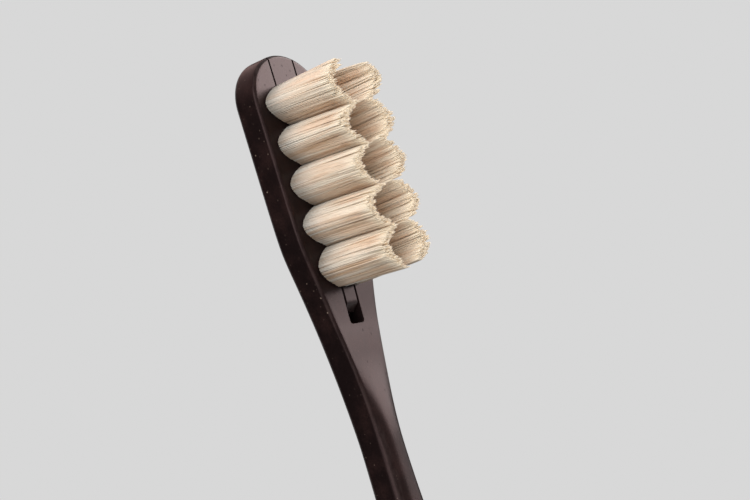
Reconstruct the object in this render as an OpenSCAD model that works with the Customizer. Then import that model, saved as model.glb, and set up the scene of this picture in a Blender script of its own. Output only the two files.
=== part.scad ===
// Manual toothbrush with a replaceable bristle cartridge.
// +X runs from the tip of the head to the end of the grip, +Z points out of the bristle face.
// The origin is in the middle of the length and width, on the surface that the brush lies on.

/* [Head] */
// Length of the whole brush
handle_l = 190; // [175:1:205]
// Width of the head
head_w = 14.5; // [14:0.1:16]
// Thickness of the head
head_t = 3.4; // [3.2:0.1:4]
// Length of the rounded tip
tip_l = 6; // [4:0.1:7]
// Distance from the tip to the shoulder where the head starts to narrow
head_l = 23.9; // [23:0.1:26]
// Softness of the shoulder
shoulder_round = 2; // [1:0.1:4]
// Chamfer round the face of the head and neck
face_chamfer = 0.45; // [0.3:0.05:0.55]
// Rounding of the back edge of the head and neck
back_round = 0.8; // [0.5:0.05:1]

/* [Neck] */
// Width of the neck at its narrowest place
neck_w = 4.7; // [4.2:0.1:6]
// Thickness of the neck at its side edges
neck_t = 3.65; // [3.6:0.05:4.2]
// Distance from the tip to the narrowest place
neck_x = 47.9; // [45:0.1:54]
// Height of the head's face above the neck's face
head_step = 0.37; // [0.3:0.01:0.5]
// Length over which the face falls from the head to the neck
step_l = 10; // [8:0.5:14]
// Height of the neck's crowned face at its narrowest place
neck_crown = 0.5; // [0.2:0.05:1]
// Length of flat face between the slot's end and the crown
crown_gap = 3.7; // [2:0.1:6]

/* [Grip] */
// Width of the grip
grip_w = 11; // [9:0.1:13]
// Thickness of the grip
grip_t = 6.6; // [6:0.1:8]
// Distance from the tip to the full width of the grip
grip_x = 98; // [88:1:110]
// Height of the grip's crowned face
grip_crown = 1.6; // [1:0.1:2]
// Rounding of the grip's back edge
grip_round = 2.1; // [1.2:0.1:2.4]
// Chamfer along the grip's face
grip_chamfer = 0.6; // [0.4:0.05:1]
// Length of the rounded end
end_l = 7; // [5:0.1:9]
// Fall of the face at the rounded end
end_drop = 1.4; // [0.5:0.1:1.8]

/* [Channel and carrier] */
// Width of the channel's mouth, which the carrier's strip fills but for the parting gaps
strip_w = 5.1; // [4.6:0.1:5.6]
// Width of the undercut for the carrier's flanges
flange_w = 7; // [6.6:0.1:8]
// Thickness of the flanges
flange_t = 0.9; // [0.7:0.05:1]
// Thickness of the head's lips over the flanges
lip_t = 0.9; // [0.7:0.05:1]
// Distance that the strip ends short of the last bristles
strip_short = 1; // [0.9:0.1:1.5]
// Running clearance of the flanges in the channel
clear = 0.1; // [0.05:0.01:0.15]
// Width of the parting gap on each side of the strip
strip_gap = 0.22; // [0.15:0.01:0.3]
// Gap between the head's face and what skims over it
skim = 0.12; // [0.08:0.01:0.2]
// Thickness of the carrier's wavy bed above that gap
bed_t = 0.5; // [0.3:0.05:0.8]

/* [Release tongue] */
// Width of the slot in the neck
slot_w = 2.9; // [2.6:0.05:3.2]
// Length of the open pit beyond the tongue
pit_l = 1.5; // [1:0.1:3]
// Corner radius of the slot
slot_round = 0.45; // [0.1:0.05:0.6]
// Width of the parting gap on each side of the tongue
tongue_gap = 0.32; // [0.2:0.01:0.4]
// Length of the tongue from the strip to its ramp
tongue_l = 3; // [2:0.1:3.5]
// Length of the ramp
ramp_l = 0.9; // [0.5:0.1:1.2]
// Thickness of the tongue
tongue_t = 1.1; // [0.9:0.05:1.2]
// Gap between the strip's end and the tongue's root
root_gap = 0.15; // [0.1:0.01:0.25]

/* [Bristles] */
// Height of the bristles above the head's face
bristle_h = 9.2; // [7:0.1:11]
// Distance from the tip to the first bristles
field_x = 3.9; // [3.6:0.1:4.5]
// Length of one bay of bristles
pitch = 5; // [4.8:0.02:5.06]
// Width over the lobes
field_w = 11.7; // [10:0.1:12]
// Width over the valleys between the lobes
valley_w = 4.6; // [4:0.1:5]
// Width inside a ring at its widest
ring_w = 8; // [7.4:0.1:8.2]
// Gap between the two sides at the valleys
waist_w = 1.2; // [0.8:0.1:1.4]
// Width of the opening between the two sides at the front of the first ring
front_gap = 2.4; // [1.6:0.1:3]
// Thickness of the pad that fuses a bundle's roots
pad_t = 0.9; // [0.6:0.1:1.5]
// Width of one strand
strand_w = 0.28; // [0.22:0.01:0.3]
// Distance between strands
strand_step = 0.4; // [0.38:0.01:0.46]
// Most that a strand is shorter than the longest
fray = 0.35; // [0:0.05:0.6]

/* [Hidden] */
// Two narrow clearances: between neighbouring pads, and from a pad to the bed
pad_gap = 0.1;
bed_gap = 0.05;
// Width of the web that joins the bed to the strip, and its distance from the strip's ends
web_w = 0.9;
web_inset = 0.3;
// Depth to which a strand is sunk in its pad
strand_root = 0.3;
// Angle between one strand and the next in the rule that sets how short each is
fray_turn = 137.5;
// Overrun of every cut
over = 1;

// How fast the head narrows: 1 is a straight taper, more is hollower
flare_power = 1.55;
// Fullness of the lobes: 1 is a plain sine wave, less is blunter
wave_power = 0.85;
// Share of the first bay over which its inner side eases from the front opening to the ring
front_share = 0.22;
// Size of each bay's lobe as a share of the first
bay_shares = [1, 1, 1, 1, 0.83];
bays = len(bay_shares);
// Points on the contour of a bay, and points across the crowned face
bay_steps = 12;
crown_points = 7;
// The rounded ends start at this angle from the centre line, in this many steps
end_angle = 8;
end_steps = 7;
back_steps = 4;

face_z = neck_t + head_step;
back_rise = face_z - head_t;
grip_edge = grip_t - grip_crown;
lip_z = face_z - lip_t;
floor_z = lip_z - flange_t - 2 * clear;
skim_z = face_z + skim;
field_l = bays * pitch;
strip_l = field_x + field_l - strip_short;
tongue_x = strip_l + root_gap;
ramp_x = strip_l + tongue_l;
slot_x = ramp_x + ramp_l + pit_l;
crown_x = slot_x + crown_gap;

// Smooth step from 0 at x0 to 1 at x1
function smooth(x, x0, x1) =
    let (t = max(0, min(1, (x - x0) / (x1 - x0)))) t * t * (3 - 2 * t);

// Distance past the shoulder, eased in over its softness
function past_shoulder(x) =
    let (d = x - head_l) (d + sqrt(d * d + shoulder_round * shoulder_round)) / 2;

// Half width of the handle without its rounded ends
function body_half_w(x) =
    x < neck_x
    ? neck_w / 2 + (head_w - neck_w) / 2
        * pow(max(0, 1 - past_shoulder(x) / (neck_x - head_l)), flare_power)
    : neck_w / 2 + (grip_w - neck_w) / 2 * smooth(x, neck_x, grip_x);

// Share of the width that the rounded ends leave
function end_share(x) =
    let (t = max(0, 1 - x / tip_l, 1 - (handle_l - x) / end_l)) sqrt(1 - t * t);

function half_w(x) = body_half_w(x) * end_share(x);

function end_fall(x) =
    x > handle_l - end_l ? end_drop * (1 - end_share(x)) : 0;

function edge_z(x) =
    neck_t + head_step * (1 - smooth(x, head_l, head_l + step_l))
    + (grip_edge - neck_t) * smooth(x, neck_x, grip_x) - end_fall(x);

function back_z(x) = back_rise * (1 - smooth(x, head_l, neck_x));

function crown(x) =
    (neck_crown * smooth(x, crown_x, neck_x)
    + (grip_crown - neck_crown) * smooth(x, neck_x, grip_x))
    * (1 - smooth(x, handle_l - end_l, handle_l - end_l * (1 - cos(end_angle))));

function back_r(x) = back_round + (grip_round - back_round) * smooth(x, neck_x, grip_x);

function chamfer(x) = face_chamfer + (grip_chamfer - face_chamfer) * smooth(x, neck_x, grip_x);

// Places of the rings along the handle
function spaced(x0, x1, n) = [for (i = [1:n]) x0 + (x1 - x0) * i / n];
end_angles = [for (i = [0:end_steps]) end_angle + (90 - end_angle) * i / end_steps];
head_stations = concat(
    [for (t = end_angles) tip_l * (1 - cos(t))],
    spaced(tip_l, head_l - shoulder_round, 3),
    spaced(head_l - shoulder_round, neck_x, 18));
stations = concat(
    head_stations,
    spaced(neck_x, grip_x, 14),
    spaced(grip_x, handle_l - end_l, 6),
    [for (i = [1:end_steps]) handle_l - end_l * (1 - cos(end_angles[end_steps - i]))]);

// Outline of the handle on the +Y side, and its outward normal at point i
function outline(xs) = [for (x = xs) [x, half_w(x)]];
function normal(p, i) =
    let (
        before = i == 0 ? [p[0].x, -p[0].y] : p[i - 1],
        after = i == len(p) - 1 ? [p[i].x, -p[i].y] : p[i + 1],
        d = after - before)
    [-d.y, d.x] / norm(d);

// Rim of the section from the back to the face, as pairs of inset and height
function rim(x) =
    let (r = back_r(x), c = chamfer(x), z = back_z(x), top = edge_z(x))
    concat(
        [for (k = [0:back_steps])
            let (t = 90 * k / back_steps) [r * (1 - sin(t)), z + r * (1 - cos(t))]],
        [[0, top - c], [c, top]]);
rim_n = back_steps + 3;

function ring(p, i) =
    let (
        n = normal(p, i),
        side = [for (e = rim(p[i].x)) [p[i].x - e[0] * n.x, p[i].y - e[0] * n.y, e[1]]],
        edge = side[rim_n - 1])
    concat(
        side,
        [for (j = [1:crown_points])
            let (f = 1 - 2 * j / (crown_points + 1))
            [edge.x, edge.y * f, edge.z + crown(p[i].x) * (1 - f * f)]],
        [for (k = [1:rim_n]) let (q = side[rim_n - k]) [q.x, -q.y, q.z]]);
ring_n = 2 * rim_n + crown_points;

// Flat end of the loft: strips between the two rims, the last one with the crown's points
function end_faces(first) = concat(
    [for (k = [0:rim_n - 3])
        [first + k, first + k + 1, first + ring_n - 2 - k, first + ring_n - 1 - k]],
    [[for (j = [rim_n - 2:ring_n - rim_n + 1]) first + j]]);
function flipped(f) = [for (i = [1:len(f)]) f[len(f) - i]];

// Solid of the handle through the rings at the places in xs
module blank(xs) {
    p = outline(xs);
    last = len(p) - 1;
    points = [for (i = [0:last]) each ring(p, i)];
    walls = [for (i = [0:last - 1]) for (j = [0:ring_n - 1])
        let (a = i * ring_n + j, b = i * ring_n + (j + 1) % ring_n)
        each [[a, a + ring_n, b], [b, a + ring_n, b + ring_n]]];
    ends = concat(
        end_faces(0),
        [for (f = end_faces(last * ring_n)) flipped(f)]);
    polyhedron(points, concat(walls, ends), convexity = 4);
}

// Box from x0 to x1 and z0 to z1, centred across the brush
module slab(x0, x1, w, z0, z1) {
    translate([x0, -w / 2, z0])
        cube([x1 - x0, w, z1 - z0]);
}

// Everything is drawn from the tip and then moved to the middle of the length
module placed() {
    translate([-handle_l / 2, 0, 0])
        children();
}

// The channel: its mouth, its undercut, and the narrow slot with round corners in the neck
module channel() {
    slab(-over, strip_l + clear, strip_w, floor_z, face_z + over);
    slab(-over, strip_l + clear, flange_w, floor_z, lip_z);
    slab(strip_l, slot_x - slot_round, slot_w, floor_z, face_z + over);
    slab(strip_l, slot_x, slot_w - 2 * slot_round, floor_z, face_z + over);
    for (side = [-1, 1])
        translate([slot_x - slot_round, side * (slot_w / 2 - slot_round), floor_z])
            cylinder(h = face_z + over - floor_z, r = slot_round, $fn = 24);
}

module handle() {
    color("#3a2f2e") placed()
        difference() {
            blank(stations);
            channel();
        }
}

// Contours of one side of bay i, where u runs from 0 to 1 along the bay
function lobe_y(i, u, waist, width) =
    (waist + (width - waist) * bay_shares[i] * pow(max(0, sin(180 * u)), wave_power)) / 2;
function outer_y(i, u) = lobe_y(i, u, valley_w, field_w);
function inner_y(i, u) =
    i > 0 || u >= front_share
    ? lobe_y(i, u, waist_w, ring_w)
    : let (s = u / front_share)
        front_gap / 2 * (1 - s) + lobe_y(i, front_share, waist_w, ring_w) * s;

// The wavy bed fills the floor of the rings
module bed() {
    side = [for (i = [0:bays - 1]) for (k = [(i == 0 ? 0 : 1):bay_steps])
        let (u = k / bay_steps) [field_x + (i + u) * pitch, inner_y(i, u) - bed_gap]];
    mirrored = [for (k = [1:len(side)]) let (q = side[len(side) - k]) [q.x, -q.y]];
    translate([0, 0, skim_z])
        linear_extrude(bed_t)
            polygon(concat(side, mirrored));
}

module bristle_carrier() {
    color("#453836") placed() {
        intersection() {
            blank(head_stations);
            union() {
                slab(-over, strip_l, strip_w - 2 * strip_gap, floor_z + clear, face_z + over);
                slab(-over, strip_l, flange_w - 2 * clear, floor_z + clear, lip_z - clear);
            }
        }
        slab(field_x + web_inset, strip_l - web_inset, web_w, lip_z, skim_z + bed_t / 2);
        bed();
    }
}

// The tongue's side view, with the ramp at its end
module release_tongue() {
    ramp_end = ramp_x + ramp_l;
    under_z = edge_z(ramp_x) - tongue_t;
    color("#453836") placed()
        intersection() {
            blank(head_stations);
            rotate([90, 0, 0])
                linear_extrude(slot_w - 2 * tongue_gap, center = true)
                    polygon([
                        [tongue_x, under_z], [tongue_x, face_z + over], [ramp_x, face_z + over],
                        [ramp_x, edge_z(ramp_x)], [ramp_end, edge_z(ramp_x) - ramp_l],
                        [ramp_end, under_z]]);
        }
}

// Places of the strands of bay i on the +Y side
function strand_places(i) =
    let (columns = floor((pitch - pad_gap) / strand_step))
    [for (c = [0:columns - 1])
        let (
            u = 0.5 + (c - (columns - 1) / 2) * strand_step / pitch,
            low = inner_y(i, u) + strand_w,
            high = outer_y(i, u) - strand_w,
            rows = floor((high - low) / strand_step) + 1)
        for (r = [0:rows - 1])
            [field_x + (i + u) * pitch, (low + high) / 2 + (r - (rows - 1) / 2) * strand_step]];

// Bundle of bay i: side is 1 on the +Y side and -1 on the other
module bundle(i, side) {
    u0 = pad_gap / pitch / 2;
    us = [for (k = [0:bay_steps]) u0 + (1 - 2 * u0) * k / bay_steps];
    outer = [for (u = us) [field_x + (i + u) * pitch, side * outer_y(i, u)]];
    inner = [for (k = [0:bay_steps])
        let (u = us[bay_steps - k]) [field_x + (i + u) * pitch, side * inner_y(i, u)]];
    places = strand_places(i);
    color("#eadbbd") placed() {
        translate([0, 0, skim_z])
            linear_extrude(pad_t)
                polygon(concat(outer, inner));
        for (k = [0:len(places) - 1])
            translate([
                places[k].x - strand_w / 2,
                side * places[k].y - strand_w / 2,
                skim_z + pad_t - strand_root])
                cube([strand_w, strand_w, bristle_h - skim - pad_t + strand_root
                    - fray * abs(sin(k * fray_turn))]);
    }
}

strand_count = 2 * len([for (i = [0:bays - 1]) each strand_places(i)]);
echo(strands = strand_count);

handle();
bristle_carrier();
release_tongue();
bundle(0, -1);  // bristles_left_1
bundle(1, -1);  // bristles_left_2
bundle(2, -1);  // bristles_left_3
bundle(3, -1);  // bristles_left_4
bundle(4, -1);  // bristles_left_5
bundle(0, 1);  // bristles_right_1
bundle(1, 1);  // bristles_right_2
bundle(2, 1);  // bristles_right_3
bundle(3, 1);  // bristles_right_4
bundle(4, 1);  // bristles_right_5
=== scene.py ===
"""Looks of a manual toothbrush with a slide-in bristle cartridge.

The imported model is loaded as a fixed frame. The handle, the carrier, the sprung tongue and the ten
bristle tufts are built here at a finer grain than the plain solids that they stand for.
Sizes are in millimetres from the tip of the head, and are turned into metres of the row frame.
"""

from __future__ import annotations

import logging
import math
from dataclasses import dataclass
from enum import Enum
from functools import reduce

import bmesh
import bpy
import numpy as np
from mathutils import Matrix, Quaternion, Vector

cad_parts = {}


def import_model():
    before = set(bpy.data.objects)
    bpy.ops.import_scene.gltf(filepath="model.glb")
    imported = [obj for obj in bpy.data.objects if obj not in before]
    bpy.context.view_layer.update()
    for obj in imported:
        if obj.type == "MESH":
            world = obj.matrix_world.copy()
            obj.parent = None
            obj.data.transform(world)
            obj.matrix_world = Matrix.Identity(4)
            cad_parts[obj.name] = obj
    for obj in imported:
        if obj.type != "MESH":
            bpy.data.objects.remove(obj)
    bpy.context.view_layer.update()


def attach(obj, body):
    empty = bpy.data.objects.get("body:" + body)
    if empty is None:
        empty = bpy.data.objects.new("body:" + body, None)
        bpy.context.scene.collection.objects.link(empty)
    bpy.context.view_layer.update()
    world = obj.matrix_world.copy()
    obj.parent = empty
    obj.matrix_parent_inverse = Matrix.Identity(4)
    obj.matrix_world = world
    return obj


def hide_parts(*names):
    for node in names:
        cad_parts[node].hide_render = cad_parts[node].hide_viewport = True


MM = 0.001
SHARP_DEG = 32.0
UV_NAME = "OFBake"
SHADE_NAME = "shade"
FLOAT, COLOUR, VECTOR = "NodeSocketFloat", "NodeSocketColor", "NodeSocketVector"

log = logging.getLogger("toothbrush")

Array = np.ndarray
Pair = tuple[float, float]
Point = tuple[float, float, float]
Colour = tuple[float, float, float]
Faces = list[tuple[int, ...]]
Thing = bpy.types.Object
Socket = bpy.types.NodeSocket
Outputs = bpy.types.NodeOutputs


class Body(str, Enum):
    """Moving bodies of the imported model."""

    HANDLE = "handle_body"
    CARTRIDGE = "cartridge"
    TONGUE = "tongue"


class Slot(str, Enum):
    """Material slots of the record."""

    HANDLE = "handle"
    CARRIER = "carrier"
    BRISTLES = "bristles"


class Side(Enum):
    """Sides of the centre line: the left one is on the -Y side."""

    LEFT = -1
    RIGHT = 1

    @property
    def place(self) -> int:
        """Where a pair of left and right values holds this side's."""
        return (self.value + 1) // 2


class Cut(str, Enum):
    """What a tool solid leaves of the piece that it meets."""

    REMOVE = "DIFFERENCE"
    KEEP = "INTERSECT"


def smooth(x: Array | float, x0: float, x1: float) -> Array | float:
    """Eased step from 0 at x0 to 1 at x1."""
    t = np.clip((x - x0) / (x1 - x0), 0, 1)
    return t * t * (3 - 2 * t)


def at_x(x: float, section: Array) -> Array:
    """Points of a section across the brush at the place x."""
    return np.column_stack([np.full(len(section), x), section])


def at_z(z: Array | float, plan: Array) -> Array:
    """Points of a plan at the height z."""
    return np.column_stack([plan, np.broadcast_to(z, len(plan))])


def both_sides(half: Array, turn: tuple[int, int]) -> Array:
    """A half outline and its mirror image, which runs back along the other side."""
    return np.concatenate([half, (half * turn)[::-1]])


@dataclass(frozen=True)
class BrushForm:
    """Outline, heights and section of the moulded handle, in millimetres from the tip."""

    handle_l: float = 190.0
    head_w: float = 14.5
    head_t: float = 3.4
    tip_l: float = 6.0
    head_l: float = 23.9
    shoulder_round: float = 2.0
    flare_power: float = 1.55
    face_edge: float = 0.45
    back_round: float = 0.8
    neck_w: float = 4.7
    neck_t: float = 3.65
    neck_x: float = 47.9
    head_step: float = 0.37
    step_l: float = 10.0
    neck_crown: float = 0.5
    neck_power: float = 3.0
    crown_x: float = 37.0
    crown_fade: float = 0.07
    grip_w: float = 11.0
    grip_t: float = 6.6
    grip_x: float = 98.0
    grip_crown: float = 1.6
    grip_power: float = 2.0
    grip_round: float = 2.1
    grip_face_edge: float = 0.6
    end_l: float = 7.0
    end_drop: float = 1.4

    @property
    def face_z(self) -> float:
        """Height of the head's face."""
        return self.neck_t + self.head_step

    def end_share(self, x: Array) -> Array:
        """Share of the width that the rounded ends leave."""
        t = np.maximum(0, np.maximum(1 - x / self.tip_l, 1 - (self.handle_l - x) / self.end_l))
        return np.sqrt(np.maximum(0, 1 - t * t))

    def half_w(self, x: Array) -> Array:
        """Half width of the outline.

        Args:
            x: Places along the brush.

        Returns:
            Half widths, which fall to 0 at both ends.
        """
        d = x - self.head_l
        past = (d + np.sqrt(d * d + self.shoulder_round**2)) / 2
        share = np.maximum(0, 1 - past / (self.neck_x - self.head_l))
        flare = self.neck_w / 2 + (self.head_w - self.neck_w) / 2 * share**self.flare_power
        grip = self.towards_grip(x, self.neck_w / 2, self.grip_w / 2)
        return np.where(x < self.neck_x, flare, grip) * self.end_share(x)

    def towards_grip(self, x: Array, neck: float, grip: float) -> Array:
        """Value that eases from its size at the neck to its size at the grip."""
        return neck + (grip - neck) * smooth(x, self.neck_x, self.grip_x)

    def edge_z(self, x: Array) -> Array:
        """Height of the face at its side edges.

        Args:
            x: Places along the brush.

        Returns:
            Heights, with the step down from the head and the fall at the brush's end.
        """
        step = self.head_step * (1 - smooth(x, self.head_l, self.head_l + self.step_l))
        fall = np.where(x > self.handle_l - self.end_l, self.end_drop * (1 - self.end_share(x)), 0)
        return self.towards_grip(x, self.neck_t, self.grip_t - self.grip_crown) + step - fall

    def back_z(self, x: Array) -> Array:
        """Height of the back."""
        return (self.face_z - self.head_t) * (1 - smooth(x, self.head_l, self.neck_x))

    def crown_power(self, x: Array) -> Array:
        """Power of the crown's fall to its edges: 2 is a parabola, and more is flatter in the middle."""
        return self.towards_grip(x, self.neck_power, self.grip_power)

    def crown(self, x: Array) -> Array:
        """Height of the crowned face above its side edges.

        Args:
            x: Places along the brush.

        Returns:
            Heights, which fall to 0 at the end of the grip.
        """
        rise = self.neck_crown * smooth(x, self.crown_x, self.neck_x)
        rise = rise + (self.grip_crown - self.neck_crown) * smooth(x, self.neck_x, self.grip_x)
        end = self.handle_l - self.end_l
        return rise * (1 - smooth(x, end, self.handle_l - self.crown_fade))


@dataclass(frozen=True)
class ChannelForm:
    """Channel in the head and neck, and what runs in it, in millimetres."""

    strip_w: float = 5.1
    flange_w: float = 7.0
    flange_t: float = 0.9
    lip_t: float = 0.9
    strip_l: float = 27.9
    clear: float = 0.1
    strip_gap: float = 0.22
    skim: float = 0.12
    bed_t: float = 0.5
    bed_gap: float = 0.05
    web_w: float = 0.9
    web_inset: float = 0.3
    slot_w: float = 2.9
    slot_round: float = 0.45
    tongue_gap: float = 0.32
    root_gap: float = 0.15
    tongue_l: float = 3.0
    ramp_l: float = 0.9
    tongue_t: float = 1.1
    pit_l: float = 1.5
    over: float = 1.0
    edge: float = 0.05

    @property
    def ramp_x(self) -> float:
        """Distance from the tip to the top of the tongue's ramp."""
        return self.strip_l + self.tongue_l

    @property
    def slot_x(self) -> float:
        """Distance from the tip to the end of the slot."""
        return self.ramp_x + self.ramp_l + self.pit_l


@dataclass(frozen=True)
class FieldForm:
    """Plan and height of the bristle field, in millimetres.

    A pair holds the left row's value and the right row's. The tips stand away from their roots by
    the spread outward and by the shift towards the grip. The horns are the two ends at the tip.
    """

    field_x: float = 3.9
    pitch: float = 5.0
    field_w: float = 11.7
    valley_w: float = 4.6
    ring_w: float = 8.0
    waist_w: float = 1.2
    wave_power: float = 0.85
    front_gap: float = 2.4
    front_share: float = 0.22
    bristle_h: float = 9.2
    bay_shares: tuple[float, ...] = (1.0, 1.0, 1.0, 1.0, 0.83)
    tip_shift: Pair = (0.4, -0.25)
    tip_spread: Pair = (-0.5, 0.45)
    valley_spread: Pair = (-0.3, 0.4)
    horn_spread: Pair = (0.75, 1.15)
    horn_shift: Pair = (-0.4, 0.7)
    horn_share: float = 0.45

    def x_at(self, bay: int, u: Array | float) -> Array | float:
        """Places along the brush at the share u of a bay."""
        return self.field_x + (bay + u) * self.pitch

    def lobe(self, bay: int, u: Array, waist: float, width: float) -> Array:
        """Half width of a wave between its waist and its widest place.

        Args:
            bay: Number of the bay, from 0.
            u: Places along the bay, from 0 to 1.
            waist: Width at both ends of the bay.
            width: Width in the middle of a bay whose share is 1.

        Returns:
            Half widths at the places u.
        """
        wave = np.maximum(np.sin(math.pi * np.clip(u, 0, 1)), 0) ** self.wave_power
        return (waist + (width - waist) * self.bay_shares[bay] * wave) / 2

    def outer_y(self, bay: int, u: Array) -> Array:
        """Outer side of the wall of bristles."""
        return self.lobe(bay, u, self.valley_w, self.field_w)

    def middle_y(self, bay: int, u: Array) -> Array:
        """Middle of the wall of bristles."""
        return self.lobe(bay, u, (self.waist_w + self.valley_w) / 2, (self.ring_w + self.field_w) / 2)

    def inner_y(self, bay: int, u: Array) -> Array:
        """Inner side of the wall of bristles, round the hollow ring.

        Args:
            bay: Number of the bay, from 0.
            u: Places along the bay, from 0 to 1.

        Returns:
            Half widths, with the open front of the first ring.
        """
        ring = self.lobe(bay, u, self.waist_w, self.ring_w)
        if bay:
            return ring
        share = np.clip(u / self.front_share, 0, 1)
        inner = self.lobe(bay, np.array(self.front_share), self.waist_w, self.ring_w)
        return np.where(share < 1, self.front_gap / 2 * (1 - share) + inner * share, ring)

    def fan(self, bay: int, u: Array, side: Side) -> Array:
        """How far the tips stand from their roots.

        Args:
            bay: Number of the bay, from 0.
            u: Places of the roots along the bay, from 0 to 1.
            side: Side of the centre line.

        Returns:
            Rows of the way towards the grip and the way out from the centre line.
        """
        k = side.place
        horn = np.clip(1 - u / self.horn_share, 0, 1) * (bay == 0)
        out = self.tip_spread[k] + self.valley_spread[k] * (1 - np.sin(math.pi * np.clip(u, 0, 1)))
        out = out + self.horn_spread[k] * horn
        return np.column_stack([self.tip_shift[k] + self.horn_shift[k] * horn, out])


@dataclass(frozen=True)
class Design:
    """All measures of the brush, and the heights that follow from more than one form."""

    brush: BrushForm = BrushForm()
    channel: ChannelForm = ChannelForm()
    field: FieldForm = FieldForm()

    @property
    def lip_z(self) -> float:
        """Height of the underside of the head's lips."""
        return self.brush.face_z - self.channel.lip_t

    @property
    def floor_z(self) -> float:
        """Height of the channel's floor."""
        return self.lip_z - self.channel.flange_t - 2 * self.channel.clear

    @property
    def root_z(self) -> float:
        """Height of the underside of the bed and the bristles."""
        return self.brush.face_z + self.channel.skim


def add_object(name: str, data: bpy.types.ID) -> Thing:
    """Puts a new object into the scene.

    Args:
        name: Name of the object.
        data: Its mesh, lamp or camera.

    Returns:
        The object.
    """
    made = bpy.data.objects.new(name, data)
    bpy.context.scene.collection.objects.link(made)
    return made


def ring_walls(rings: int, count: int) -> Faces:
    """Corner numbers of the quads between closed rings of points.

    Args:
        rings: Number of rings.
        count: Number of points in each.

    Returns:
        The quads, ring by ring.
    """
    return [
        (i * count + j, i * count + (j + 1) % count, (i + 1) * count + (j + 1) % count, (i + 1) * count + j)
        for i in range(rings - 1)
        for j in range(count)
    ]


class MeshKit:
    """Turns points in millimetres from the tip into Blender objects in metres."""

    def __init__(self, form: BrushForm) -> None:
        """Keeps the length that puts the frame's origin in the middle of the brush."""
        self.shift = np.array([-form.handle_l / 2, 0, 0])

    def build(self, name: str, points: Array, faces: Faces) -> Thing:
        """Makes a mesh object from points and faces.

        Args:
            name: Name of the piece.
            points: Points in millimetres from the tip.
            faces: Corner numbers of each face.

        Returns:
            The new object, with every face of its closed shells turned outward.
        """
        mesh = bpy.data.meshes.new(name)
        mesh.from_pydata(((points + self.shift) * MM).tolist(), [], faces)
        mesh.validate()
        shells = bmesh.new()
        shells.from_mesh(mesh)
        bmesh.ops.recalc_face_normals(shells, faces=shells.faces)
        shells.to_mesh(mesh)
        shells.free()
        return add_object(name, mesh)

    def stack(self, name: str, rings: list[Array]) -> Thing:
        """Makes a solid through rings of points, with a flat face at both ends.

        Args:
            name: Name of the object.
            rings: Points of each ring, as many in all of them.

        Returns:
            The closed solid.
        """
        count = len(rings[0])
        faces = ring_walls(len(rings), count)
        faces.append(tuple(reversed(range(count))))
        faces.append(tuple(range((len(rings) - 1) * count, len(rings) * count)))
        return self.build(name, np.concatenate(rings), faces)

    @staticmethod
    def carve(piece: Thing, tool: Thing, cut: Cut) -> None:
        """Cuts a piece with a tool solid, which is then deleted.

        Args:
            piece: The object to cut.
            tool: Closed solid that cuts it.
            cut: Whether the common part is removed or kept.
        """
        modifier = piece.modifiers.new("cut", "BOOLEAN")
        modifier.operation = cut.value
        modifier.solver = "EXACT"
        modifier.object = tool
        graph = bpy.context.evaluated_depsgraph_get()
        old = piece.data
        mesh = bpy.data.meshes.new_from_object(piece.evaluated_get(graph))
        piece.modifiers.clear()
        piece.data = mesh
        bpy.data.meshes.remove(old)
        bpy.data.objects.remove(tool)

    @staticmethod
    def join(piece: Thing, *others: Thing) -> None:
        """Joins other objects into a piece as separate closed shells of one mesh."""
        with bpy.context.temp_override(active_object=piece, selected_editable_objects=[piece, *others]):
            bpy.ops.object.join()

    @staticmethod
    def shade(piece: Thing) -> None:
        """Shades a piece smooth, with sharp edges where its faces meet at more than SHARP_DEG."""
        piece.data.shade_smooth()
        piece.data.set_sharp_from_angle(angle=math.radians(SHARP_DEG))


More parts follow.
